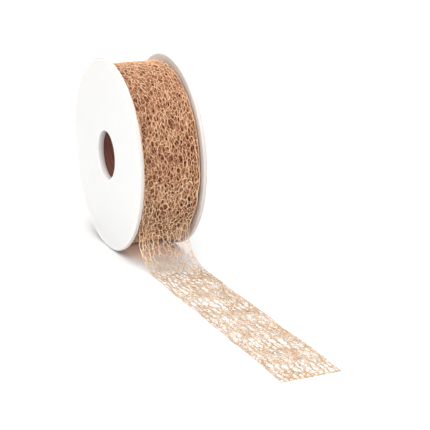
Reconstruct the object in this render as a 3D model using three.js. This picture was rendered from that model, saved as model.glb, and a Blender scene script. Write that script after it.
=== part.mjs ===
// A spool of open web ribbon: two moulded flanges plugged into a card tube, the ribbon wound on the
// tube between them, and the ribbon's free end coming down off the front and lying on the table.
// Millimetres, +Z up. The spool stands on its two rims and turns about X; the free end runs towards -Y.
import * as THREE from "three";

// Flanges
const flangeDiameter = 125;
const plateThickness = 2.4;
const rimBeadWidth = 2.4; // flat bead round the edge of the outer face
const rimRound = 0.8; // radius on both edges of the rim
const panelRecess = 0.3; // how far the outer face lies below the bead
const boreDiameter = 31.6;
const boreRound = 0.4; // radius on the mouth of the bore
const sleeveLength = 2; // the sleeve behind the bore that plugs into the card tube
const sleeveWall = 1.4;

// Card tube and starter tape
const insideWidth = 39.2; // between the flanges' inner faces
const tubeWall = 1.8;
const tapeThickness = 0.2;
const tapeWidth = 24;
const tapeReach = THREE.MathUtils.degToRad(40); // how far the tape runs round the tube

// Wound ribbon
const rimDepth = 4; // how far the flanges stand out past the winding
const windingEdgeRound = 1;

// Free end of the ribbon
const drawIn = 4; // how much narrower the web is once it is pulled off the winding
const ribbonThickness = 0.8;
const wrapFrom = THREE.MathUtils.degToRad(2); // below the foremost line of the winding
const wrapTo = THREE.MathUtils.degToRad(35); // where the ribbon leaves the winding
const leavePull = 14; // how stiffly it goes on in the direction in which it leaves
const landPull = 28; // how softly it lands on the table
const landAhead = 15.5; // from the front of the winding to where it lies flat
const flatLength = 164.4; // from there to the cut end

// Clearances
const seatGap = 0.3; // between pieces that seat on each other
const sideGap = 0.6; // between the winding and each flange
const runGap = 0.4; // between the winding, which turns, and the free end, which doesn't

// Fineness of round shapes
const roundSides = 72;
const cornerSteps = 3;
const bendSteps = 24;
const wrapSteps = 11;
const tapeSteps = 8;

// Sizes that follow from the ones above
const flangeRadius = flangeDiameter / 2;
const boreRadius = boreDiameter / 2;
const sleeveRadius = boreRadius + sleeveWall;
const tubeInnerRadius = sleeveRadius + seatGap;
const tubeOuterRadius = tubeInnerRadius + tubeWall;
const tapeInnerRadius = tubeOuterRadius + seatGap;
const windingInnerRadius = tapeInnerRadius + tapeThickness + seatGap;
const windingRadius = flangeRadius - rimDepth;
const windingWidth = insideWidth - 2 * sideGap;
const tailWidth = windingWidth - drawIn;
const landingY = -(windingRadius + landAhead);
const cutEndY = landingY - flatLength;
// The rims are drawn with flat sides, one of them level at the bottom, so this is how high the axis is.
const axisHeight = flangeRadius * Math.cos(Math.PI / roundSides);

const materials = {
  flange: new THREE.MeshStandardMaterial({ color: 0xf7f5f1, roughness: 0.42, metalness: 0 }),
  card: new THREE.MeshStandardMaterial({ color: 0x7b4a38, roughness: 0.9, metalness: 0 }),
  tape: new THREE.MeshStandardMaterial({ color: 0xdccda6, roughness: 0.35, metalness: 0 }),
  ribbon: new THREE.MeshStandardMaterial({ color: 0xddb68c, roughness: 0.7, metalness: 0 }),
};

// Points on a quarter-turn or other arc about a centre, both ends included.
function arc(centreX, centreY, radius, from, to, steps) {
  const points = [];
  for (let i = 0; i <= steps; i += 1) {
    const angle = from + ((to - from) * i) / steps;
    points.push(
      new THREE.Vector2(centreX + radius * Math.cos(angle), centreY + radius * Math.sin(angle)),
    );
  }
  return points;
}

// A turned piece about the spool's axis. The profile holds (radius, distance along the axis) and goes
// round the section with the solid on its left, the axis lying to the left of the page.
function turned(name, profile, material) {
  const closed = [...profile, profile[0].clone()];
  const geometry = new THREE.LatheGeometry(closed, roundSides, Math.PI / roundSides);
  geometry.rotateZ(-Math.PI / 2);
  const mesh = new THREE.Mesh(geometry, material);
  mesh.name = name;
  return mesh;
}

// A piece of constant section across the spool. The shape is drawn in the plane of Y and Z.
function across(name, shape, width, material) {
  const geometry = new THREE.ExtrudeGeometry(shape, { depth: width, bevelEnabled: false });
  geometry.translate(0, 0, -width / 2);
  const drawnToSpool = new THREE.Matrix4().makeBasis(
    new THREE.Vector3(0, 1, 0),
    new THREE.Vector3(0, 0, 1),
    new THREE.Vector3(1, 0, 0),
  );
  geometry.applyMatrix4(drawnToSpool);
  const mesh = new THREE.Mesh(geometry, material);
  mesh.name = name;
  return mesh;
}

// One flange, its inner face at x = insideWidth / 2 and its outer face towards +X: a plate with a bead
// round its rim, a bore through it and a short sleeve behind the bore.
function flange(name) {
  const inner = insideWidth / 2;
  const outer = inner + plateThickness;
  const panel = outer - panelRecess;
  const beadRadius = flangeRadius - rimBeadWidth;
  const roundCentre = flangeRadius - rimRound;
  const profile = [
    new THREE.Vector2(boreRadius, inner - sleeveLength),
    new THREE.Vector2(sleeveRadius, inner - sleeveLength),
    new THREE.Vector2(sleeveRadius, inner),
    ...arc(roundCentre, inner + rimRound, rimRound, -Math.PI / 2, 0, cornerSteps),
    ...arc(roundCentre, outer - rimRound, rimRound, 0, Math.PI / 2, cornerSteps),
    new THREE.Vector2(beadRadius, outer),
    new THREE.Vector2(beadRadius - panelRecess, panel),
    ...arc(boreRadius + boreRound, panel - boreRound, boreRound, Math.PI / 2, Math.PI, cornerSteps),
  ];
  return turned(name, profile, materials.flange);
}

function rightFlange() {
  return flange("right_flange");
}

// The left flange is the same moulding turned round to face the other way.
function leftFlange() {
  const mesh = flange("left_flange");
  mesh.rotation.z = Math.PI;
  return mesh;
}

// A plain ring about the axis, with both outer corners rounded if a radius is given.
function ring(name, innerRadius, outerRadius, width, edgeRound, material) {
  const half = width / 2;
  const profile = [new THREE.Vector2(innerRadius, half), new THREE.Vector2(innerRadius, -half)];
  if (edgeRound > 0) {
    const centre = outerRadius - edgeRound;
    profile.push(...arc(centre, -half + edgeRound, edgeRound, -Math.PI / 2, 0, cornerSteps));
    profile.push(...arc(centre, half - edgeRound, edgeRound, 0, Math.PI / 2, cornerSteps));
  } else {
    profile.push(new THREE.Vector2(outerRadius, -half), new THREE.Vector2(outerRadius, half));
  }
  return turned(name, profile, material);
}

function coreTube() {
  const length = insideWidth - 2 * seatGap;
  return ring("core_tube", tubeInnerRadius, tubeOuterRadius, length, 0, materials.card);
}

function ribbonRoll() {
  return ring(
    "ribbon_roll",
    windingInnerRadius,
    windingRadius,
    windingWidth,
    windingEdgeRound,
    materials.ribbon,
  );
}

// The strip that holds the ribbon's inner end down on the top of the tube, under the first turn.
function starterTape() {
  const from = Math.PI / 2 - tapeReach / 2;
  const to = Math.PI / 2 + tapeReach / 2;
  const outline = [
    ...arc(0, 0, tapeInnerRadius + tapeThickness, from, to, tapeSteps),
    ...arc(0, 0, tapeInnerRadius, to, from, tapeSteps),
  ];
  return across("starter_tape", new THREE.Shape(outline), tapeWidth, materials.tape);
}

// The middle line of the free end, from where it is still wrapped on the winding to the cut end.
function ribbonMiddleLine() {
  const wrapRadius = windingRadius + runGap + ribbonThickness / 2;
  const tableLine = -axisHeight + ribbonThickness / 2;
  const wrap = arc(0, 0, wrapRadius, Math.PI + wrapFrom, Math.PI + wrapTo, wrapSteps);
  const leaving = wrap[wrap.length - 1];
  const landing = new THREE.Vector2(landingY, tableLine);
  const bend = new THREE.CubicBezierCurve(
    leaving,
    new THREE.Vector2(
      leaving.x + leavePull * Math.sin(wrapTo),
      leaving.y - leavePull * Math.cos(wrapTo),
    ),
    new THREE.Vector2(landing.x + landPull, landing.y),
    landing,
  );
  return [...wrap, ...bend.getPoints(bendSteps).slice(1), new THREE.Vector2(cutEndY, tableLine)];
}

function ribbonTail() {
  const middle = ribbonMiddleLine();
  const above = [];
  const below = [];
  middle.forEach((point, i) => {
    const before = middle[Math.max(i - 1, 0)];
    const after = middle[Math.min(i + 1, middle.length - 1)];
    const along = new THREE.Vector2().subVectors(after, before).normalize();
    const step = new THREE.Vector2(along.y, -along.x).multiplyScalar(ribbonThickness / 2);
    above.push(new THREE.Vector2().addVectors(point, step));
    below.push(new THREE.Vector2().subVectors(point, step));
  });
  const shape = new THREE.Shape([...above, ...below.reverse()]);
  return across("ribbon_tail", shape, tailWidth, materials.ribbon);
}

const spool = new THREE.Group();
spool.add(leftFlange(), rightFlange(), coreTube(), starterTape(), ribbonRoll());

const part = new THREE.Group();
part.add(spool, ribbonTail());
part.position.set(0, -(cutEndY + axisHeight) / 2, axisHeight);

export default part;
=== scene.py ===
"""A spool of open web gift ribbon: the fine surfaces, finishes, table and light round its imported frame.

Laid out as an add-on and run as a script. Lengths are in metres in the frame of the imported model: X along
the spool's axis, Y from the ribbon's cut end towards the spool, Z up from the table.
"""

import math

import bpy
import numpy as np
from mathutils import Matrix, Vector
from mathutils.geometry import delaunay_2d_cdt


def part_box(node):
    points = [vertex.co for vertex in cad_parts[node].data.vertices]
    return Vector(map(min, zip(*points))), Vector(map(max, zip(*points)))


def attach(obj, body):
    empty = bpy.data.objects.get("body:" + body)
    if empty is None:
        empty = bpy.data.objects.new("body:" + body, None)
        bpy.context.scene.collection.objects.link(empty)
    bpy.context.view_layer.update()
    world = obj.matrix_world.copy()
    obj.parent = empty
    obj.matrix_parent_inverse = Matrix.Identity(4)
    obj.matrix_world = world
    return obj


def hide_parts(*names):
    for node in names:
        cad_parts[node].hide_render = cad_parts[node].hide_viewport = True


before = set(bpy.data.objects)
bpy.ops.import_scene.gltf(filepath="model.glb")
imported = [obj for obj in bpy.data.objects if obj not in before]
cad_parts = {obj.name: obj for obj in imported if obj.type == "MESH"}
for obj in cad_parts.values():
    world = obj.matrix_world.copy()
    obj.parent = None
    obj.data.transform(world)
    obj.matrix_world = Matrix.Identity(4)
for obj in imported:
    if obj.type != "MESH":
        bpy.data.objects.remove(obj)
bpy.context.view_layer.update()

bl_info = {
    "name": "Ribbon spool",
    "version": (1, 0, 0),
    "blender": (4, 5, 0),
    "location": "View3D > Sidebar > Ribbon spool",
    "description": "Builds a spool of open web ribbon with its free end laid on a table",
    "category": "Add Mesh",
}

MM = 0.001


# -------- places taken from the frame


def node_box(node):
    """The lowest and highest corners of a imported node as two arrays."""
    low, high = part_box(node)
    return np.array(low), np.array(high)


RIGHT_LOW, RIGHT_HIGH = node_box("right_flange")
TUBE_LOW, TUBE_HIGH = node_box("core_tube")
ROLL_LOW, ROLL_HIGH = node_box("ribbon_roll")
TAIL_LOW, TAIL_HIGH = node_box("ribbon_tail")

AXIS_Y = (RIGHT_LOW[1] + RIGHT_HIGH[1]) / 2
AXIS_Z = (RIGHT_LOW[2] + RIGHT_HIGH[2]) / 2
CENTRE = np.array([0.0, AXIS_Y, AXIS_Z])
FLANGE_RADIUS = (RIGHT_HIGH[2] - RIGHT_LOW[2]) / 2
FLANGE_OUTER_X = RIGHT_HIGH[0]
ROLL_RADIUS = (ROLL_HIGH[2] - ROLL_LOW[2]) / 2
ROLL_WIDTH = ROLL_HIGH[0] - ROLL_LOW[0]
TUBE_RADIUS = (TUBE_HIGH[2] - TUBE_LOW[2]) / 2
TUBE_LENGTH = TUBE_HIGH[0] - TUBE_LOW[0]
TAIL_WIDTH = TAIL_HIGH[0] - TAIL_LOW[0]
TABLE_Z = TAIL_LOW[2]
CUT_END_Y = TAIL_LOW[1]
TABLE_BELOW_AXIS = TABLE_Z - AXIS_Z
WEB_WIDTH = ROLL_WIDTH - 1.2 * MM


# -------- sizes and colours to set


def length(name, description, default):
    """A length property in metres."""
    return bpy.props.FloatProperty(
        name=name, description=description, default=default, min=0.0, unit="LENGTH", precision=5
    )


def turn(name, description, degrees):
    """An angle property."""
    return bpy.props.FloatProperty(
        name=name, description=description, default=math.radians(degrees), unit="ROTATION"
    )


def plain(name, description, default):
    """A bare number property."""
    return bpy.props.FloatProperty(name=name, description=description, default=default)


def colour(name, description, default):
    """A linear RGB colour property."""
    return bpy.props.FloatVectorProperty(
        name=name, description=description, default=default, subtype="COLOR", min=0.0, max=1.0
    )


class RibbonSpoolSizes(bpy.types.PropertyGroup):
    """Sizes of the flanges and the card tube."""

    plate: length("Plate thickness", "Thickness of each flange at its bead", 2.4 * MM)
    bead: length("Rim bead", "Width of the flat bead round each flange", 2.4 * MM)
    rim_round: length("Rim rounding", "Radius on both edges of the rim", 0.8 * MM)
    recess: length("Face recess", "How far the outer face lies below the bead", 0.3 * MM)
    bore: length("Bore radius", "Radius of the hole through each flange", 15.78 * MM)
    bore_round: length("Bore rounding", "Radius on the mouth of the bore", 0.45 * MM)
    sleeve_wall: length("Sleeve wall", "Wall of the sleeve that plugs into the tube", 1.4 * MM)
    tube_wall: length("Tube wall", "Wall of the card tube", 1.8 * MM)
    tube_seam: length("Tube seam depth", "Depth of the spiral seam inside the tube", 0.12 * MM)
    tube_pitch: length("Tube seam pitch", "Distance along the tube between seams", 24 * MM)


class RibbonWebSizes(bpy.types.PropertyGroup):
    """Sizes of the web ribbon's threads and cells, and of the way it leaves the winding."""

    thread: length("Thread radius", "Radius of a thread on the winding", 0.145 * MM)
    free_thread: length("Free thread radius", "Radius of a thread in the free end", 0.2 * MM)
    cell_width: length("Cell width", "Width of the small openings on the winding", 2.0 * MM)
    cell_length: length("Cell length", "Length of the small openings on the winding", 3.4 * MM)
    free_width: length("Free cell width", "Width of the small openings in the free end", 1.85 * MM)
    free_length: length("Free cell length", "Their length, drawn out by the pull", 3.1 * MM)
    strand_step: length("Strand step", "Usual distance between stout lengthwise strands", 3.2 * MM)
    openness: plain("Openness", "Share of the small openings that run together", 0.34)
    pulled_open: plain("Pulled open", "How much more of them do so where it hangs free", 0.12)
    free_stout: plain("Strand stoutness", "Of the free end's strands against a usual thread", 1.2)
    free_fine: plain("Fineness", "Of the free end's other threads against a usual thread", 0.86)
    hang_stout: plain("Hanging stoutness", "Of its threads where it hangs, in the same way", 0.92)
    crossings: plain("Crossing threads", "Loose crossing threads on a square centimetre", 9.0)
    free_crossings: plain("Free crossing threads", "The same in the free end", 7.5)
    turn_step: length("Turn step", "Distance between one turn of ribbon and the next", 0.45 * MM)
    turns: bpy.props.IntProperty(
        name="Open turns", description="Turns modelled thread by thread", default=5, min=1
    )
    run_gap: length("Running gap", "Between the winding and the free end wrapped on it", 0.4 * MM)
    ribbon: length("Ribbon thickness", "Room that one layer of ribbon takes up", 0.8 * MM)
    wrap_from: turn("Wrap start", "Angle below the front of the winding", 2)
    wrap_to: turn("Leaving angle", "Angle at which the ribbon leaves the winding", 35)
    leave_pull: length("Leaving pull", "How stiffly it goes on as it leaves", 14 * MM)
    land_pull: length("Landing pull", "How softly it lands on the table", 28 * MM)
    hanging: length("Hanging run", "Length of the free end that hangs off the winding", 45 * MM)
    land_ahead: length("Landing", "From the front of the winding to the flat stretch", 15.5 * MM)
    lift: length("Lift", "Height of the loose waves in the flat stretch", 0.55 * MM)


class RibbonSpoolColours(bpy.types.PropertyGroup):
    """Base colours of the finishes."""

    plastic: colour("Plastic", "Moulded flanges", (0.685, 0.678, 0.67))
    card: colour("Card", "Inside of the tube", (0.185, 0.066, 0.049))
    # Thread, free thread and hanging thread are lit and shaded copies of one ribbon's colour: painted
    # darker where it lies flat on the brightly lit table, and lighter on the winding and where it hangs in
    # the shade under it.
    thread: colour("Thread", "Outermost threads of the winding", (1.0, 0.58, 0.33))
    free_thread: colour("Free thread", "Threads of the free end", (0.50, 0.315, 0.152))
    hanging: colour("Hanging thread", "The same where they hang off the winding", (0.93, 0.625, 0.4))
    # Deep thread and pack are painted shade: the real ribbon has one colour all through, and these darker
    # colours stand in for the shade deep in the winding.
    deep_thread_shade: colour("Deep thread", "Threads below the first turns", (0.215, 0.042, 0.012))
    pack: colour("Pack", "Turns deep in the winding", (0.07, 0.009, 0.003))
    tape: colour("Tape", "Strip that starts the ribbon", (0.72, 0.62, 0.44))
    table: colour("Table", "Table top", (0.715, 0.715, 0.715))


class RibbonSpoolStage(bpy.types.PropertyGroup):
    """Camera and lights."""

    azimuth: turn("Azimuth", "Heading of the camera from the front, to the right", -24.6)
    elevation: turn("Elevation", "How far the camera looks down", 16.9)
    lens: bpy.props.FloatProperty(
        name="Lens", description="Focal length on a 36 mm sensor", default=106.6, unit="CAMERA"
    )
    camera_place: bpy.props.FloatVectorProperty(
        name="Camera place",
        description="Place of the camera from the middle of the spool",
        default=(-0.2895, -0.7536, 0.2016),
        subtype="TRANSLATION",
        unit="LENGTH",
    )
    table_radius: length("Table radius", "Radius of the round table top", 1.45)
    sky: plain("Sky", "Strength of the even white light all round", 0.2)
    top_power: plain("Top light", "Power of the soft light overhead, in watts", 136.0)
    key_power: plain("Key light", "Power of the light above the free end, in watts", 16.0)
    side_power: plain("Side light", "Power of the soft light at the left, in watts", 2.75)
    fill_power: plain("Fill light", "Power of the glow under the winding, in watts", 0.00105)
    fill_tint: colour("Fill tint", "Colour the winding throws on the table", (1.0, 0.55, 0.36))


# -------- node trees as expressions


class Wire:
    """A socket in a material's node tree. Arithmetic on it adds Math nodes, and numbers stay numbers."""

    def __init__(self, finish, socket):
        self.finish = finish
        self.socket = socket

    def _math(self, operation, first, second=None):
        values = {0: first} if second is None else {0: first, 1: second}
        return self.finish.node("ShaderNodeMath", {"operation": operation}, values)

    def __add__(self, other):
        return self._math("ADD", self, other)

    __radd__ = __add__

    def __sub__(self, other):
        return self._math("SUBTRACT", self, other)

    def __rsub__(self, other):
        return self._math("SUBTRACT", other, self)

    def __mul__(self, other):
        return self._math("MULTIPLY", self, other)

    def __truediv__(self, other):
        return self._math("DIVIDE", self, other)

    def __pow__(self, other):
        return self._math("POWER", self, other)

    def sine(self):
        return self._math("SINE", self)

    def absolute(self):
        return self._math("ABSOLUTE", self)

    def fraction(self):
        return self._math("FRACT", self)

    def between(self, low, high):
        """0 below low, 1 above high, smooth in between."""
        return self.finish.node(
            "ShaderNodeMapRange",
            {"interpolation_type": "SMOOTHSTEP"},
            {"Value": self, "From Min": low, "From Max": high},
        )


class Finish:
    """One material under construction, round a single Principled BSDF."""

    def __init__(self, name, **constants):
        self.material = bpy.data.materials.new(name)
        self.material.use_nodes = True
        self.tree = self.material.node_tree
        self.shader = self.tree.nodes["Principled BSDF"]
        for socket, value in constants.items():
            self.shader.inputs[socket.replace("_", " ")].default_value = value

    def node(self, kind, settings=None, values=None, output=0):
        """Adds a node: its settings first, then the values or links of its sockets."""
        made = self.tree.nodes.new(kind)
        for key, value in (settings or {}).items():
            setattr(made, key, value)
        for key, value in (values or {}).items():
            self.connect(value, made.inputs[key])
        return Wire(self, made.outputs[output])

    def connect(self, value, socket):
        """Links a wire to a socket, or sets the socket's own value."""
        if isinstance(value, Wire):
            self.tree.links.new(value.socket, socket)
        elif socket.type == "RGBA" and len(value) == 3:
            socket.default_value = (*value, 1.0)
        else:
            socket.default_value = value

    def place(self):
        """Object coordinates, measured from the middle of the spool."""
        coordinates = self.node("ShaderNodeTexCoord", output="Object")
        return self.node(
            "ShaderNodeVectorMath",
            {"operation": "SUBTRACT"},
            {0: coordinates, 1: tuple(CENTRE)},
        )

    def parts_of(self, vector):
        """The three numbers of a vector."""
        split = self.tree.nodes.new("ShaderNodeSeparateXYZ")
        self.connect(vector, split.inputs[0])
        return [Wire(self, output) for output in split.outputs]

    def vector(self, x, y, z):
        """A vector from three numbers."""
        return self.node("ShaderNodeCombineXYZ", None, {0: x, 1: y, 2: z})

    def attribute(self, name):
        """A number stored on the piece's own points."""
        return self.node("ShaderNodeAttribute", {"attribute_name": name}, output="Fac")

    def noise(self, where, scale, detail=2.0, roughness=0.5):
        """Soft noise from 0 to 1."""
        return self.node(
            "ShaderNodeTexNoise",
            None,
            {"Vector": where, "Scale": scale, "Detail": detail, "Roughness": roughness},
        )

    def mix(self, factor, first, second):
        """One colour turning into another."""
        made = self.tree.nodes.new("ShaderNodeMix")
        made.data_type = "RGBA"
        self.connect(factor, made.inputs["Factor"])
        self.connect(first, made.inputs[6])
        self.connect(second, made.inputs[7])
        return Wire(self, made.outputs[2])

    def bump(self, height, distance, strength):
        """A relief of the given depth in metres."""
        values = {"Height": height, "Distance": distance, "Strength": strength}
        return self.node("ShaderNodeBump", None, values)

    def show(self, **wires):
        """Feeds the shader's varying sockets and returns the material."""
        for socket, value in wires.items():
            self.connect(value, self.shader.inputs[socket.replace("_", " ")])
        return self.material


# -------- surfaces from numpy arrays


def new_piece(name, points, faces, material, smooth=True, tone=None):
    """Makes one object from its points (n, 3) and a list of face arrays of equal-sized faces."""
    corners = np.concatenate([block.ravel() for block in faces]).astype(np.int32)
    sizes = np.concatenate([np.full(len(block), block.shape[1]) for block in faces])
    starts = np.concatenate([[0], np.cumsum(sizes)[:-1]]).astype(np.int32)
    mesh = bpy.data.meshes.new(name)
    mesh.vertices.add(len(points))
    mesh.vertices.foreach_set("co", np.ascontiguousarray(points, np.float32).ravel())
    mesh.loops.add(len(corners))
    mesh.loops.foreach_set("vertex_index", corners)
    mesh.polygons.add(len(starts))
    mesh.polygons.foreach_set("loop_start", starts)
    mesh.polygons.foreach_set("use_smooth", np.full(len(starts), smooth))
    mesh.update(calc_edges=True)
    if tone is not None:
        attribute = mesh.attributes.new("tone", "FLOAT", "POINT")
        attribute.data.foreach_set("value", np.ascontiguousarray(tone, np.float32))
    if mesh.validate():
        raise RuntimeError(f"{name} has bad faces")
    mesh.materials.append(material)
    piece = bpy.data.objects.new(name, mesh)
    bpy.context.scene.collection.objects.link(piece)
    return piece


def grid_faces(rows, columns, closed=True):
    """Quads of a grid whose last column joins its first, and whose last row joins its first if closed."""
    row = np.arange(rows if closed else rows - 1)[:, None] * columns
    column = np.arange(columns)[None, :]
    above = (row + columns) % (rows * columns)
    beside = (column + 1) % columns
    return np.stack([row + column, row + beside, above + beside, above + column], axis=-1).reshape(-1, 4)


def turned_points(radius, along, sides):
    """A closed profile carried round the spool's axis: each profile point (radius, along) becomes a
    circle of that radius about the axis, at that distance along it."""
    angle = np.linspace(0, 2 * np.pi, sides, endpoint=False)
    shape = np.broadcast(radius, angle[None, :]).shape
    x = np.broadcast_to(along, shape)
    y = AXIS_Y + radius * np.cos(angle)
    z = AXIS_Z + radius * np.sin(angle)
    return np.stack([x, y, z], axis=-1).reshape(-1, 3)


def round_corner(centre, radius, start, end, steps):
    """Points on an arc about a centre, from one angle in degrees to another, ends included."""
    angle = np.radians(np.linspace(start, end, steps))
    return np.stack([centre[0] + radius * np.cos(angle), centre[1] + radius * np.sin(angle)], axis=-1)


def between_points(start, end, steps, crowd):
    """Points on a straight line without its ends, with one close to each end to hold the shading."""
    start, end = np.array(start), np.array(end)
    span = np.linalg.norm(end - start)
    near = min(crowd / span, 0.3)
    share = np.concatenate([[near], np.linspace(near, 1 - near, steps + 2)[1:-1], [1 - near]])
    return start + (end - start) * share[:, None]


def closed_section(corners, straights, crowd):
    """Joins rounded corners by straight lines, each with the given number of points, into one loop."""
    loop = []
    for index, corner in enumerate(corners):
        after = corners[(index + 1) % len(corners)]
        loop += [corner, between_points(corner[-1], after[0], straights[index], crowd)]
    return np.concatenate(loop)


def ring_section(inner, outer, half, rounds, steps, straights, crowd):
    """The closed section of a plain ring, as (radius, distance along the axis). Its inner and its outer
    corners have the two radii in rounds, with the two numbers of points in steps."""
    near, far = rounds
    corners = [
        round_corner((inner + near, half - near), near, 90, 180, steps[0]),
        round_corner((inner + near, near - half), near, 180, 270, steps[0]),
        round_corner((outer - far, far - half), far, -90, 0, steps[1]),
        round_corner((outer - far, half - far), far, 0, 90, steps[1]),
    ]
    return closed_section(corners, straights, crowd)


def flange_section(sizes):
    """The closed section of a flange as (radius, distance along the axis): sleeve, inner face, rounded
    rim, bead, recessed outer face and rounded mouth of the bore, as straight lines and arcs."""
    outer = FLANGE_OUTER_X
    inner = outer - sizes.plate
    panel = outer - sizes.recess
    sleeve_end = RIGHT_LOW[0]
    sleeve = sizes.bore + sizes.sleeve_wall
    rim, fine = sizes.rim_round, 0.25 * MM
    arc_centre = FLANGE_RADIUS - rim
    bead = FLANGE_RADIUS - sizes.bead
    mouth = sizes.bore + sizes.bore_round
    corners = [
        round_corner((sleeve - fine, sleeve_end + fine), fine, -90, 0, 5),
        round_corner((sleeve + fine, inner - fine), fine, 180, 90, 5),
        round_corner((arc_centre, inner + rim), rim, -90, 0, 9),
        round_corner((arc_centre, outer - rim), rim, 0, 90, 9),
        round_corner((bead, outer - fine), fine, 90, 150, 5),
        round_corner((bead - 2.2 * fine, panel + fine), fine, -30, -90, 5),
        round_corner((mouth, panel - sizes.bore_round), sizes.bore_round, 90, 180, 7),
        round_corner((sizes.bore + fine, sleeve_end + fine), fine, 180, 270, 5),
    ]
    return closed_section(corners, (2, 12, 2, 2, 1, 14, 4, 1), fine)


def make_flange(name, side, material, sizes):
    """One flange: its section turned about the axis, with the slow warp of a thin moulding, a sine of
    twice the angle that grows as the square of the radius."""
    profile = flange_section(sizes)
    sides = 256
    angle = np.linspace(0, 2 * np.pi, sides, endpoint=False)
    radius, along = profile[:, :1], profile[:, 1:]
    points = turned_points(radius, along, sides)
    warp = 0.08 * MM * (radius / FLANGE_RADIUS) ** 2 * np.sin(2 * angle + 0.7)
    points[:, 0] += np.broadcast_to(warp, (len(profile), sides)).ravel()
    faces = grid_faces(len(profile), sides)
    if side < 0:
        points[:, 0] *= -1
        faces = faces[:, ::-1]
    return new_piece(name, points, [faces], material)


# -------- the way of the ribbon's free end


def ribbon_route(web, steps=900):
    """The middle line of the free end in the plane of Y and Z, as even steps: a stretch round the
    winding, a cubic curve that leaves it and lands on the table, and a straight line to the cut end.
    Returns the points (n, 2), the unit direction at each and the distance run."""
    wrap_radius = ROLL_RADIUS + web.run_gap + web.ribbon / 2
    angle = np.pi + np.linspace(web.wrap_from, web.wrap_to, 60)
    wrap = np.stack([AXIS_Y + wrap_radius * np.cos(angle), AXIS_Z + wrap_radius * np.sin(angle)], -1)
    leave = np.array([math.sin(web.wrap_to), -math.cos(web.wrap_to)])
    height = TABLE_Z + web.ribbon / 2
    landing = np.array([AXIS_Y - ROLL_RADIUS - web.land_ahead, height])
    first, last = wrap[-1], landing
    second = first + web.leave_pull * leave
    third = last + np.array([web.land_pull, 0.0])
    t = np.linspace(0, 1, 160)[1:, None]
    bend = (1 - t) ** 3 * first + 3 * (1 - t) ** 2 * t * second + 3 * (1 - t) * t**2 * third
    bend = bend + t**3 * last
    flat = np.array([[CUT_END_Y, height]])
    line = np.concatenate([wrap, bend, flat])
    run = np.concatenate([[0], np.cumsum(np.linalg.norm(np.diff(line, axis=0), axis=1))])
    even = np.linspace(0, run[-1], steps)
    points = np.stack([np.interp(even, run, line[:, k]) for k in (0, 1)], axis=-1)
    along = np.gradient(points, even, axis=0)
    along /= np.linalg.norm(along, axis=1, keepdims=True)
    return points, along, even


# -------- the web


def web_threads(rng, web, cell, width, run, closed):
    """The threads of an irregular web on a flat strip, as start and end points (distance along, distance
    across). Seeds are strewn on a brick pattern and shaken, and more of them are left out where a sum of
    slow waves is high; the strip is divided into triangles between seeds, the middle of each triangle is
    a knot, and a thread joins the knots of every two triangles that share an edge, so that each opening
    of the web goes round one seed. The strip's length closes on itself for a turn of the winding. The
    knots are returned too."""
    cell_width, cell_length = cell
    shake = 0.48
    unevenness = 0.11 if closed else 0.02
    shortest, longest, slant = 9 * MM, 22 * MM, 700
    rows = int(round(run / cell_length))
    columns = int(math.ceil(width / cell_width)) + 4
    row, column = np.meshgrid(np.arange(rows), np.arange(columns), indexing="ij")
    along = (row + 0.5 * (column % 2) + 0.5) * run / rows
    across = (column - (columns - 1) / 2) * cell_width
    along = along + rng.uniform(-shake, shake, along.shape) * run / rows
    across = across + rng.uniform(-shake, shake, across.shape) * cell_width
    slow = np.zeros(along.shape)
    for _ in range(6):
        waves = round(run / rng.uniform(shortest, longest)) * 2 * math.pi / run
        slow += np.sin(along * waves + across * rng.uniform(-slant, slant) + rng.uniform(0, 6.3))
    left_out = web.openness + unevenness * slow
    if not closed:
        left_out += web.pulled_open * np.clip(2 - along / web.hanging, 0, 1)
    left_out = np.clip(left_out, 0.02, 0.72)
    seeds = np.stack([along, across], axis=-1)[rng.random(along.shape) > left_out]
    margin = 4 * cell_length
    if closed:
        seeds[:, 0] %= run
        before = seeds[seeds[:, 0] > run - margin] - [run, 0]
        after = seeds[seeds[:, 0] < margin] + [run, 0]
        seeds = np.concatenate([seeds, before, after])
    stretch = np.array([cell_width / cell_length, 1.0])
    flat = [Vector(seed) for seed in (seeds * stretch / cell_width).tolist()]
    found = delaunay_2d_cdt(flat, [], [], 0, 1e-7)
    corners = np.array([tuple(point) for point in found[0]]) / stretch * cell_width
    triangles = np.array(found[2])
    knots = corners[triangles].mean(axis=1)
    edges = np.sort(np.concatenate([triangles[:, [0, 1]], triangles[:, [1, 2]], triangles[:, [2, 0]]]), 1)
    owner = np.tile(np.arange(len(triangles)), 3)
    order = np.lexsort((edges[:, 1], edges[:, 0]))
    edges, owner = edges[order], owner[order]
    shared = np.all(edges[:-1] == edges[1:], axis=1)
    starts, ends = knots[owner[:-1][shared]], knots[owner[1:][shared]]
    middle = (starts[:, 0] + ends[:, 0]) / 2
    low, high = (0, run) if closed else (-margin, run + margin)
    keep = (middle >= low) & (middle < high)
    return starts[keep], ends[keep], knots


def crossing_threads(rng, density, width, run, knots):
    """Loose straight threads that cross several openings: from a knot to the knot nearest to a point a
    few openings away, more often lengthwise than across."""
    count = int(density * width * run * 1e4)
    inside = knots[(knots[:, 0] >= 0) & (knots[:, 0] < run)]
    starts = inside[rng.integers(0, len(inside), count)]
    angle = rng.normal(0, 0.8, count)
    reach = rng.uniform(4, 12, count) * MM
    aim = starts + np.stack([np.cos(angle), np.sin(angle)], axis=-1) * reach[:, None]
    nearest = ((aim[:, None] - knots[None]) ** 2).sum(axis=2).argmin(axis=1)
    return starts, knots[nearest]


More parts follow.
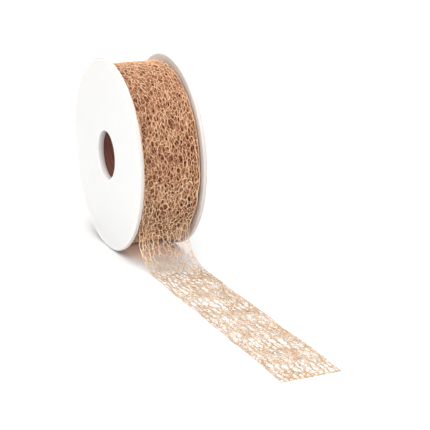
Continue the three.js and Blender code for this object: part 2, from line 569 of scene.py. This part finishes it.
def cut_at(starts, ends, axis, limit, side):
    """Cuts threads off where they pass a straight line across one axis. Returns the threads that are
    left and the points at which they were cut."""
    out_start = side * starts[:, axis] > side * limit
    out_end = side * ends[:, axis] > side * limit
    keep = ~(out_start & out_end)
    starts, ends = starts[keep], ends[keep]
    out_start, out_end = out_start[keep], out_end[keep]
    starts[out_start], ends[out_start] = ends[out_start], starts[out_start].copy()
    crossing = out_start | out_end
    share = (limit - starts[:, axis]) / np.where(crossing, ends[:, axis] - starts[:, axis], 1)
    cut = starts + (ends - starts) * share[:, None]
    ends = np.where(crossing[:, None], cut, ends)
    return starts, ends, ends[crossing]


def edge_threads(points, edge, run, closed):
    """The thread along one edge of the ribbon: it joins the cut points one after another, and at a free
    end it runs on to the corners."""
    points = points[np.argsort(points[:, 0])]
    if closed:
        return points, np.concatenate([points[1:], points[:1] + [run, 0]])
    points = np.concatenate([[[0, edge]], points, [[run, edge]]])
    return points[:-1], points[1:]


def strand_threads(rng, web, width, run):
    """The stout strands that run down the free end at even steps, drawn out by the pull. Each begins at
    a knot of its own where the ribbon hangs, sways as the sum of three sines, and is jogged a little
    from one knot to the next."""
    count = int(width / web.strand_step)
    knots = int(run / (2.6 * MM))
    along = np.linspace(0, run, knots + 1)
    starts, ends = [], []
    for number in range(count):
        across = (number + 0.5) / count * width - width / 2
        for step, sway in ((42, 0.8), (17, 0.4), (8.5, 0.4)):
            waves = 2 * math.pi / (step * MM * rng.uniform(0.8, 1.2))
            across = across + sway * MM * np.sin(waves * along + rng.uniform(0, 6.3))
        jog = rng.uniform(-0.45, 0.45, knots + 1) * MM
        line = np.stack([along, across + jog], axis=-1)[int(rng.integers(8, 26)) :]
        starts.append(line[:-1])
        ends.append(line[1:])
    return np.concatenate(starts), np.concatenate(ends)


def uneven_edges(rng, flat, width, run):
    """Shifts points across by the sum of three sines of the distance along, different for each side, so
    that the edges aren't ruled straight."""
    shift = np.zeros(len(flat))
    for side in (-1, 1):
        wave = np.zeros(len(flat))
        for step in (31, 13, 7):
            waves = round(run / rng.uniform(0.8, 1.2) / (step * MM)) * 2 * math.pi / run
            wave += np.sin(waves * flat[:, 0] + rng.uniform(0, 6.3)) * 0.09 * MM
        share = np.clip(side * flat[:, 1] / (width / 2), 0, 1) ** 2
        shift += side * share * (wave - 0.2 * MM)
    return np.stack([flat[:, 0], flat[:, 1] + shift], axis=-1)


def web_strip(rng, web, cell, width, run, closed):
    """All threads of one strip of ribbon: the web cut to the ribbon's width, loose crossing threads and
    an edge thread down each side. A free end also has stout strands and a straight fused cut; it thins
    out where it merges with the winding, and its crossing threads begin below where it hangs. Returns
    starts, ends, each thread's thickness, and its height over the web: 1 over, -1 under or 0 in it."""
    starts, ends, knots = web_threads(rng, web, cell, width, run, closed)
    density = web.crossings if closed else web.free_crossings
    more_starts, more_ends = crossing_threads(rng, density, width, run, knots)
    if not closed:
        laid = more_starts[:, 0] > rng.uniform(25, 75, len(more_starts)) * MM
        more_starts, more_ends = more_starts[laid], more_ends[laid]
    height = np.concatenate([np.zeros(len(starts)), rng.choice([-1.0, 1.0], len(more_starts))])
    starts = np.column_stack([np.concatenate([starts, more_starts]), height])
    ends = np.column_stack([np.concatenate([ends, more_ends]), height])
    if not closed:
        starts, ends, _ = cut_at(starts, ends, 0, 0.0, -1)
        starts, ends, _ = cut_at(starts, ends, 0, run, 1)
        merged = starts[:, 0] > rng.uniform(-6, 16, len(starts)) * MM
        starts, ends = starts[merged], ends[merged]
    starts, ends, right = cut_at(starts, ends, 1, width / 2, 1)
    starts, ends, left = cut_at(starts, ends, 1, -width / 2, -1)
    thickness = rng.uniform(0.75, 1.1, len(starts)) * (1 - 0.4 * abs(starts[:, 2]))
    extra = [
        edge_threads(right[:, :2], width / 2, run, closed),
        edge_threads(left[:, :2], -width / 2, run, closed),
    ]
    edging = [np.full(len(pair[0]), 1.0) for pair in extra]
    if not closed:
        hanging = np.clip(1.8 - (starts[:, 0] + ends[:, 0]) / 2 / web.hanging, 0, 1)
        thickness *= web.free_fine + (web.hang_stout - web.free_fine) * hanging
        cut = np.stack([np.full(16, run), np.linspace(-width / 2, width / 2, 16)], axis=-1)
        extra += [(cut[:-1], cut[1:]), strand_threads(rng, web, width, run)]
        edging += [np.full(15, 1.0), np.full(len(extra[-1][0]), web.free_stout)]
    height = np.concatenate([starts[:, 2]] + [np.zeros(len(pair[0])) for pair in extra])
    both = np.concatenate(
        [starts[:, :2]] + [pair[0] for pair in extra] + [ends[:, :2]] + [pair[1] for pair in extra]
    )
    starts, ends = np.split(uneven_edges(rng, both, width, run), 2)
    thickness = np.concatenate([thickness] + edging)
    keep = np.linalg.norm(ends - starts, axis=1) > 0.1 * web.thread
    return starts[keep], ends[keep], thickness[keep], height[keep]


def web_area(starts, ends, thickness, radius):
    """The area of the web's threads in the flat strip: half of each thread's round surface, which is pi
    times its radius times its length."""
    return float((math.pi * radius * thickness * np.linalg.norm(ends - starts, axis=1)).sum())


def thread_tubes(rng, starts, ends, thickness, height, radius, lay, sides, steps=3):
    """Closed tubes along the threads. Each thread is a parabola between its two knots, bowed sideways a
    little; lay carries points of the flat strip to their places in space and gives the outward
    direction there. A ring of the tube is a circle square to the thread; the rings are fullest at the
    knots, thinner between them, and shrink to half just past each end."""
    count = len(starts)
    share = np.concatenate([[0.0], np.linspace(0, 1, steps), [1.0]])
    past = np.concatenate([[-1.0], np.zeros(steps), [1.0]])
    tip, waist, fullest = 0.5, 0.86, 1.12
    from_waist = (2 * np.linspace(0, 1, steps) - 1) ** 2
    swell = np.concatenate([[tip], waist + (fullest - waist) * from_waist, [tip]])
    span = ends - starts
    sideways = np.stack([-span[:, 1], span[:, 0]], axis=-1)
    bow = rng.uniform(-0.07, 0.07, (count, 1, 1)) * (1 - abs(height))[:, None, None]
    flat = starts[:, None] + span[:, None] * share[:, None]
    flat = flat + bow * sideways[:, None] * (4 * share * (1 - share))[:, None]
    rise = rng.uniform(-0.35, 0.35, (count, 1)) * (4 * share * (1 - share)) + height[:, None]
    centre, outward = lay(flat.reshape(-1, 2))
    centre, outward = centre.reshape(count, -1, 3), outward.reshape(count, -1, 3)
    centre = centre + outward * rise[..., None] * radius
    along = np.gradient(centre, axis=1)
    along[:, 0], along[:, -1] = along[:, 1], along[:, -2]
    along /= np.linalg.norm(along, axis=2, keepdims=True) + 1e-12
    size = radius * thickness[:, None] * swell
    centre = centre + along * (past * radius * 0.8)[None, :, None]
    side = np.cross(along, outward)
    side /= np.linalg.norm(side, axis=2, keepdims=True) + 1e-12
    up = np.cross(side, along)
    angle = 2 * np.pi * np.arange(sides) / sides
    ring = side[:, :, None] * np.cos(angle)[:, None] + up[:, :, None] * np.sin(angle)[:, None]
    points = centre[:, :, None] + ring * size[:, :, None, None]
    rings = steps + 2
    first = np.arange(count)[:, None, None] * rings * sides
    walls = (grid_faces(rings, sides, closed=False)[None] + first).reshape(-1, 4)
    caps = np.stack([np.arange(sides)[::-1], (rings - 1) * sides + np.arange(sides)])
    caps = (caps[None] + first).reshape(-1, sides)
    tone = np.repeat(rng.random(count), rings * sides)
    return points.reshape(-1, 3), [walls, caps], tone


def web_piece(name, body, rng, strip, radius, lay, sides, finish, **sheet):
    points, faces, tone = thread_tubes(rng, *strip, radius, lay, sides)
    piece = new_piece(name, points, faces, finish, tone=tone)
    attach(piece, body)
    web_area(*strip[:3], radius)
    return piece


def lay_on_winding(radius, shift):
    """Carries a flat strip round the winding: distance along becomes an angle at the given radius, and
    distance across becomes a place along the axis, with a slow side-to-side wander."""

    def lay(flat):
        angle = flat[:, 0] / radius
        out = np.stack([np.zeros_like(angle), np.cos(angle), np.sin(angle)], axis=-1)
        x = flat[:, 1] + shift * np.sin(angle * 2 + shift * 9000)
        points = CENTRE + out * radius
        points[:, 0] = x
        return points, out

    return lay


def lay_on_route(web, radius):
    """Carries a flat strip along the way of the free end. It starts as wide as the turns of the winding,
    draws in once it is off them, and on the table it lies in low waves, the sum of two sines along and
    across, which die out before the cut end."""
    points, along, run = ribbon_route(web)
    full = run[-1]
    on_table, settling, calming = 78 * MM, 30 * MM, 20 * MM
    wrap = (ROLL_RADIUS + web.run_gap + web.ribbon / 2) * (web.wrap_to - web.wrap_from)

    def lay(flat):
        u = np.clip(flat[:, 0], -2 * MM, full + 2 * MM)
        y = np.interp(u, run, points[:, 0])
        z = np.interp(u, run, points[:, 1])
        ty = np.interp(u, run, along[:, 0])
        tz = np.interp(u, run, along[:, 1])
        out = np.stack([np.zeros_like(u), tz, -ty], axis=-1)
        share = np.clip((u - 0.2 * wrap) / (wrap * 1.3), 0, 1)
        share = share * share * (3 - 2 * share)
        widening = WEB_WIDTH / TAIL_WIDTH * (1 - share) + share
        x = flat[:, 1] * widening
        x = x + 0.35 * MM * np.sin(u * 95) * share
        lying = np.clip((u - on_table) / settling, 0, 1) * np.clip((full - u) / calming, 0.15, 1)
        wave = 0.5 + 0.25 * np.sin(u * 118 + x * 60) + 0.25 * np.sin(u * 203 - x * 140 + 1.3)
        low = TABLE_Z + radius * 2.3
        place = np.stack([x, y, z], axis=-1)
        z_flat = low + web.lift * wave
        place[:, 2] = place[:, 2] * (1 - lying) + z_flat * lying
        place[:, 2] = np.maximum(place[:, 2], low)
        return place, out

    return lay, full


# -------- finishes


def tinted(base, red, green, blue):
    """A colour with its parts multiplied one by one."""
    return (base[0] * red, base[1] * green, base[2] * blue)


def plastic_finish(colours, sizes):
    """Satin white moulded plastic: faint flow marks that run out from the bore, soft cloudiness and fine
    scuffs in the roughness. The bore wall is painted lighter, as painted light where light enters the bore.
    The sleeve's inside, the inner faces and the rims are painted darker, as painted shade. The shade inside
    the sleeve is warm, like the light that the card tube throws."""
    depths = (1.0, 0.7, 0.55)
    made = Finish(
        "white_plastic", Subsurface_Weight=0.6, Subsurface_Radius=depths, Subsurface_Scale=0.005
    )
    where = made.place()
    x, y, z = made.parts_of(where)
    out = (y * y + z * z) ** 0.5
    wide = out + 4 * MM
    flow = made.noise(made.vector(y / wide, z / wide, out * 30), 3.2, 3.0)
    cloud = made.noise(where, 26.0, 3.0)
    scuff = made.noise(made.vector(x * 400, y * 60, z * 900), 1.0, 4.0, 0.65)
    white = tuple(colours.plastic)
    tint = made.mix(cloud.between(0.3, 0.75), white, tinted(white, 0.985, 0.98, 0.97))
    inner_face = FLANGE_OUTER_X - sizes.plate
    plate = x.absolute().between(inner_face - 0.8 * MM, inner_face + 0.1 * MM)
    # Masks for painted light and shade: the bore wall is painted lighter, and the sleeve's inside, the
    # inner faces and the rims are painted darker.
    painted_light_bore_wall = plate * (1 - out.between(sizes.bore + 0.5 * MM, sizes.bore + 1.0 * MM))
    sleeve = (1 - plate) * (1 - out.between(sizes.bore + 1.9 * MM, sizes.bore + 3.1 * MM))
    inner = (1 - x.absolute().between(inner_face + 0.1 * MM, inner_face + 1.6 * MM)) * (1 - painted_light_bore_wall)
    rim = out.between(FLANGE_RADIUS - 0.95 * MM, FLANGE_RADIUS - 0.45 * MM)
    mouth = (out - sizes.bore - 0.2 * MM).absolute().between(0.0, 0.6 * MM)
    # Painted light on the bore wall, then painted shade inside the sleeve, on the inner faces and on the
    # rims.
    tint = made.mix(painted_light_bore_wall, tint, tinted(white, 1.04, 0.99, 0.97))
    tint = made.mix(sleeve * 0.15, tint, tinted(white, 0.55, 0.46, 0.42))
    tint = made.mix(inner, tint, tinted(white, 0.78, 0.75, 0.73))
    tint = made.mix(rim, tint, tinted(white, 0.78, 0.76, 0.74))
    rough = 0.36 + flow * 0.12 + scuff.between(0.55, 0.8) * 0.14 + mouth * 0.02
    relief = made.bump(flow * 0.5 + cloud * 0.5, 0.04 * MM, 0.5)
    return made.show(Base_Color=tint, Roughness=rough, Normal=relief)


def card_finish(colours, pitch):
    """Spiral-wound brown board: a seam that climbs the tube, long fibres along the winding, and specks."""
    made = Finish("wound_card", Specular_IOR_Level=0.25)
    where = made.place()
    x, y, z = made.parts_of(where)
    angle = made.node("ShaderNodeMath", {"operation": "ARCTAN2"}, {0: z, 1: y})
    climb = (x / pitch + angle / (2 * math.pi) + 8.0).fraction()
    seam = 1 - (climb - 0.5).absolute().between(0.0, 0.02)
    fibre = made.noise(made.vector(x * 900 + angle * 3, y * 90, z * 90), 1.0, 4.0, 0.6)
    speck = made.noise(where, 900.0, 2.0)
    brown = tuple(colours.card)
    light = tuple(min(c * 1.45 + 0.02, 1.0) for c in brown)
    dark = tinted(brown, 0.62, 0.62, 0.62)
    tint = made.mix(fibre.between(0.3, 0.7), brown, light)
    tint = made.mix(speck.between(0.58, 0.72) * 0.5, tint, dark)
    tint = made.mix(seam * 0.7, tint, dark)
    relief = made.bump(fibre * 0.4 + speck * 0.3 - seam, 0.12 * MM, 0.8)
    return made.show(Base_Color=tint, Roughness=0.82 + fibre * 0.15, Normal=relief)


def thread_shades(base):
    """The lightest and darkest tones of a thread's colour."""
    return tuple(min(c * 1.16 + 0.03, 1.0) for c in base), tinted(base, 0.80, 0.70, 0.60)


def thread_finish(name, colours, outermost, depth, painted_hanging_light=None):
    """Fine spun thread: a tone of its own for each thread, lighter where filaments bunch. depth, from 0 to
    1, takes it from the outermost turn's colour to the deep one, which is painted shade of the turns below,
    and takes its gloss away. Where a colour for the hanging part is given, the thread turns to that colour
    as it climbs from the table: painted light on the threads that hang in the shade under the winding."""
    gloss = 0.5 * (1 - depth)
    made = Finish(name, Sheen_Weight=gloss, Sheen_Roughness=0.4, Specular_IOR_Level=gloss)
    where = made.place()
    tone = made.attribute("tone")
    patch = made.noise(where, 160.0, 2.0)
    filament = made.noise(where, 2600.0, 2.0, 0.7)
    # The deeper the turn, the darker its colour is painted, as shade.
    base = tuple(a * (1 - depth) + b * depth for a, b in zip(outermost, colours.deep_thread_shade))
    light, dark = thread_shades(base)
    # Painted light: the threads turn lighter as they climb from the table into the shade under the winding.
    if painted_hanging_light is not None:
        climb = made.parts_of(where)[2] - TABLE_BELOW_AXIS
        climb = climb.between(0.7 * MM, 10.4 * MM)
        raised_light, raised_dark = thread_shades(tuple(painted_hanging_light))
        light = made.mix(climb, light, raised_light)
        dark = made.mix(climb, dark, raised_dark)
    tint = made.mix(tone.between(0.1, 0.95), dark, light)
    tint = made.mix(patch.between(0.42, 0.72) * 0.35, tint, dark)
    tint = made.mix(filament.between(0.45, 0.7) * 0.25, tint, light)
    relief = made.bump(filament, 0.06 * MM, 0.6)
    return made.show(Base_Color=tint, Roughness=0.5 + filament * 0.25, Normal=relief)


def pack_finish(colours):
    """The mass of turns below the open ones, all in painted shade: caramel threads over dark gaps on the
    outside, and on the sides the edges of the turns as fine rings, both in the painted shade colours of the
    deep turns."""
    made = Finish("packed_web", Specular_IOR_Level=0.1)
    where = made.place()
    x, y, z = made.parts_of(where)
    out = (y * y + z * z) ** 0.5
    cell = made.node(
        "ShaderNodeTexVoronoi",
        {"feature": "DISTANCE_TO_EDGE"},
        {"Vector": made.vector(x * 1.25, y, z), "Scale": 520.0},
        output="Distance",
    )
    fine = made.noise(where, 700.0, 3.0)
    thread = 1 - cell.between(0.05, 0.2)
    rings = ((out + fine * (0.4 * MM)) * (2 * math.pi / (0.55 * MM))).sine() * 0.5 + 0.5
    side = (x.absolute() - (ROLL_WIDTH / 2 - 0.9 * MM)).between(-0.2 * MM, 0.2 * MM)
    # Both pack colours are painted shade: the deep thread colour for the threads and the darker pack colour
    # for the gaps.
    light = tuple(colours.deep_thread_shade)
    dark = tuple(colours.pack)
    outside = made.mix(thread * (0.45 + fine * 0.5), dark, light)
    edges = made.mix(rings * 0.8, dark, light)
    tint = made.mix(side, outside, edges)
    height = thread * (1 - side) + rings * side
    relief = made.bump(height + fine * 0.3, 0.4 * MM, 0.9)
    return made.show(Base_Color=tint, Roughness=0.75 + fine * 0.2, Normal=relief)


def tape_finish(colours):
    """Creped paper tape: fine creases across the strip and soft blotches."""
    made = Finish("crepe_tape")
    where = made.place()
    x, y, z = made.parts_of(where)
    crease = made.noise(made.vector(x * 80, y * 1600, z * 200), 1.0, 3.0, 0.6)
    blotch = made.noise(where, 220.0, 2.0)
    base = tuple(colours.tape)
    tint = made.mix(crease.between(0.35, 0.7), base, tinted(base, 0.8, 0.8, 0.8))
    tint = made.mix(blotch.between(0.5, 0.8) * 0.3, tint, tinted(base, 0.9, 0.9, 0.9))
    relief = made.bump(crease, 0.06 * MM, 0.7)
    return made.show(Base_Color=tint, Roughness=0.7 + blotch * 0.2, Normal=relief)


def table_finish(colours):
    """A plain pale table top with the least unevenness."""
    made = Finish("pale_table", Specular_IOR_Level=0.1)
    grain = made.noise(made.place(), 900.0, 2.0)
    base = tuple(colours.table)
    tint = made.mix(grain, base, tinted(base, 0.99, 0.99, 0.99))
    return made.show(Base_Color=tint, Roughness=0.7 + grain * 0.1)


# -------- operators


class RIBBONSPOOL_OT_stage(bpy.types.Operator):
    """Make the table, the lights and the camera"""

    bl_idname = "ribbonspool.stage"
    bl_label = "Table, lights and camera"

    def execute(self, context):
        stage = context.scene.ribbon_spool_stage
        colours = context.scene.ribbon_spool_colours
        camera_data = bpy.data.cameras.new("camera")
        camera_data.lens = stage.lens
        camera_data.clip_end = 20
        camera = bpy.data.objects.new("camera", camera_data)
        camera.location = CENTRE + np.array(stage.camera_place)
        camera.rotation_euler = (math.pi / 2 - stage.elevation, 0, stage.azimuth)
        context.scene.collection.objects.link(camera)
        context.scene.camera = camera
        sides = 128
        angle = np.linspace(0, 2 * np.pi, sides, endpoint=False)
        edge = np.stack([np.cos(angle), np.sin(angle), np.zeros(sides)], axis=-1) * stage.table_radius
        edge[:, 2] = TABLE_Z
        finish = table_finish(colours)
        new_piece("table_top", edge, [np.arange(sides)[None]], finish, smooth=False)
        world = bpy.data.worlds.new("studio")
        world.use_nodes = True
        tree = world.node_tree
        lit = tree.nodes["Background"]
        seen = tree.nodes.new("ShaderNodeBackground")
        for background, strength in ((lit, stage.sky), (seen, 1.0)):
            background.inputs["Color"].default_value = (1.0, 1.0, 1.0, 1.0)
            background.inputs["Strength"].default_value = strength
        ray = tree.nodes.new("ShaderNodeLightPath")
        both = tree.nodes.new("ShaderNodeMixShader")
        tree.links.new(ray.outputs["Is Camera Ray"], both.inputs[0])
        tree.links.new(lit.outputs[0], both.inputs[1])
        tree.links.new(seen.outputs[0], both.inputs[2])
        tree.links.new(both.outputs[0], tree.nodes["World Output"].inputs["Surface"])
        context.scene.world = world
        self.light(context, "top_light", (0.0, 0.05, 1.9), 4.2, stage.top_power)
        self.light(context, "key_light", (-0.25, -1.75, 0.85), 1.2, stage.key_power)
        self.light(context, "side_light", (-0.75, -0.3, 0.3), 0.7, stage.side_power)
        aim = (0.0, -18.5 * MM, TABLE_BELOW_AXIS)
        under = (0.0, aim[1], aim[2] + 3.1 * MM)
        fill = self.light(context, "fill_light", under, 0.032, stage.fill_power, aim)
        fill.color = stage.fill_tint
        context.scene.view_settings.view_transform = "Standard"
        return {"FINISHED"}

    def light(self, context, name, place, size, power, aim=(0.0, 0.0, 0.0)):
        """A square soft light, both its place and its aim measured from the middle of the spool."""
        data = bpy.data.lights.new(name, "AREA")
        data.size = size
        data.energy = power
        lamp = bpy.data.objects.new(name, data)
        lamp.location = Vector(CENTRE) + Vector(place)
        heading = Vector(aim) - Vector(place)
        lamp.rotation_euler = heading.to_track_quat("-Z", "Y").to_euler()
        lamp.visible_camera = False
        context.scene.collection.objects.link(lamp)
        return data


class RIBBONSPOOL_OT_flanges(bpy.types.Operator):
    """Make the two moulded flanges"""

    bl_idname = "ribbonspool.flanges"
    bl_label = "Flanges"

    def execute(self, context):
        sizes = context.scene.ribbon_spool_sizes
        plastic = plastic_finish(context.scene.ribbon_spool_colours, sizes)
        for name, side in (("left_flange", -1), ("right_flange", 1)):
            piece = make_flange(name + "_moulding", side, plastic, sizes)
            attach(piece, "spool")
            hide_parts(name)
        return {"FINISHED"}


class RIBBONSPOOL_OT_core(bpy.types.Operator):
    """Make the spiral-wound card tube and finish the tape on it"""

    bl_idname = "ribbonspool.core"
    bl_label = "Card tube and tape"

    def execute(self, context):
        sizes = context.scene.ribbon_spool_sizes
        colours = context.scene.ribbon_spool_colours
        half, fine = TUBE_LENGTH / 2, 0.15 * MM
        inner = TUBE_RADIUS - sizes.tube_wall
        profile = ring_section(inner, TUBE_RADIUS, half, (fine, fine), (4, 4), (90, 3, 20, 3), fine)
        sides = 160
        angle = np.linspace(0, 2 * np.pi, sides, endpoint=False)
        climb = (profile[:, 1:] / sizes.tube_pitch + angle / (2 * np.pi) + 8.0) % 1.0
        seam = np.exp(-(((climb - 0.5) / 0.02) ** 2))
        bore_side = (profile[:, :1] < inner + 0.5 * fine) & (abs(profile[:, 1:]) < half - 1.5 * fine)
        radius = profile[:, :1] + sizes.tube_seam * seam * bore_side
        points = turned_points(radius, profile[:, 1:], sides)
        faces = [grid_faces(len(profile), sides)]
        piece = new_piece("wound_card_tube", points, faces, card_finish(colours, sizes.tube_pitch))
        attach(piece, "spool")
        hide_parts("core_tube")
        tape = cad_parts["starter_tape"]
        tape.data.materials.clear()
        tape.data.materials.append(tape_finish(colours))
        return {"FINISHED"}


class RIBBONSPOOL_OT_winding(bpy.types.Operator):
    """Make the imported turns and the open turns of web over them"""

    bl_idname = "ribbonspool.winding"
    bl_label = "Winding"

    def execute(self, context):
        web = context.scene.ribbon_web_sizes
        colours = context.scene.ribbon_spool_colours
        pack_radius = ROLL_RADIUS - web.turns * web.turn_step - 0.15 * MM
        pack = self.pack(pack_radius, pack_finish(colours))
        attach(pack, "spool")
        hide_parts("ribbon_roll")
        for turn_number in range(web.turns):
            # Each turn further in is painted darker, as shade.
            depth = 1 - 0.52**turn_number
            rng = np.random.default_rng(40 + turn_number)
            radius = ROLL_RADIUS - web.thread * 1.5 - turn_number * web.turn_step
            run = 2 * math.pi * radius
            cell = (web.cell_width, web.cell_length)
            web_piece(
                f"web_turn_{turn_number + 1}",
                "spool",
                rng,
                web_strip(rng, web, cell, WEB_WIDTH, run, True),
                web.thread,
                lay_on_winding(radius, 0.2 * MM),
                4 if turn_number < 2 else 3,
                thread_finish(f"web_thread_{turn_number + 1}", colours, colours.thread, depth),
                flat=(WEB_WIDTH, run),
                held="stretched",
                rests_on=["packed_turns"],
            )
        return {"FINISHED"}

    def pack(self, radius, material):
        """A ring whose section is a rounded rectangle, with lumps on its outside: the sum of sines of
        the angle and the place along the axis, a quarter of a millimetre deep."""
        rounds = (0.2 * MM, 0.9 * MM)
        inner = TUBE_RADIUS + 0.8 * MM
        straights = (2, 40, 40, 40)
        profile = ring_section(inner, radius, WEB_WIDTH / 2, rounds, (3, 7), straights, 0.4 * MM)
        sides = 360
        angle = np.linspace(0, 2 * np.pi, sides, endpoint=False)
        out, along = profile[:, :1], profile[:, 1:]
        lumps = np.sin(angle * 61 + along * 900) + np.sin(angle * 83 - along * 1400 + 2)
        lumps = lumps + np.sin(along * 2300 + 1.7 * np.sin(angle * 47))
        share = np.clip((out - radius + 2 * MM) / MM, 0, 1)
        points = turned_points(out + 0.09 * MM * lumps * share, along, sides)
        return new_piece("packed_turns", points, [grid_faces(len(profile), sides)], material)


class RIBBONSPOOL_OT_free_end(bpy.types.Operator):
    """Make the free end of the ribbon, from the winding to its cut end on the table"""

    bl_idname = "ribbonspool.free_end"
    bl_label = "Free end"

    def execute(self, context):
        web = context.scene.ribbon_web_sizes
        colours = context.scene.ribbon_spool_colours
        rng = np.random.default_rng(7)
        lay, run = lay_on_route(web, web.free_thread)
        cell = (web.free_width, web.free_length)
        piece = web_piece(
            "free_end_web",
            "laid_ribbon",
            rng,
            web_strip(rng, web, cell, TAIL_WIDTH, run, False),
            web.free_thread,
            lay,
            4,
            thread_finish("web_thread_free", colours, colours.free_thread, 0.0, colours.hanging),
            flat=(TAIL_WIDTH, run),
            held="laid",
        )
        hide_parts("ribbon_tail")
        return {"FINISHED"}


class RIBBONSPOOL_PT_panel(bpy.types.Panel):
    """Lists the steps that build the spool"""

    bl_idname = "RIBBONSPOOL_PT_panel"
    bl_label = "Ribbon spool"
    bl_space_type = "VIEW_3D"
    bl_region_type = "UI"
    bl_category = "Ribbon spool"

    def draw(self, context):
        for step in STEPS:
            self.layout.operator(step.bl_idname)


STEPS = (
    RIBBONSPOOL_OT_stage,
    RIBBONSPOOL_OT_flanges,
    RIBBONSPOOL_OT_core,
    RIBBONSPOOL_OT_winding,
    RIBBONSPOOL_OT_free_end,
)
GROUPS = {
    "ribbon_spool_sizes": RibbonSpoolSizes,
    "ribbon_web_sizes": RibbonWebSizes,
    "ribbon_spool_colours": RibbonSpoolColours,
    "ribbon_spool_stage": RibbonSpoolStage,
}


def register():
    """Registers the property groups, the operators and the panel."""
    for name, group in GROUPS.items():
        bpy.utils.register_class(group)
        setattr(bpy.types.Scene, name, bpy.props.PointerProperty(type=group))
    for step in STEPS:
        bpy.utils.register_class(step)
    bpy.utils.register_class(RIBBONSPOOL_PT_panel)


def unregister():
    """Takes everything back out."""
    bpy.utils.unregister_class(RIBBONSPOOL_PT_panel)
    for step in reversed(STEPS):
        bpy.utils.unregister_class(step)
    for name, group in GROUPS.items():
        delattr(bpy.types.Scene, name)
        bpy.utils.unregister_class(group)


def main():
    """Builds the spool step by step."""
    register()
    bpy.ops.ribbonspool.stage()
    bpy.ops.ribbonspool.flanges()
    bpy.ops.ribbonspool.core()
    bpy.ops.ribbonspool.winding()
    bpy.ops.ribbonspool.free_end()


if __name__ == "__main__":
    main()
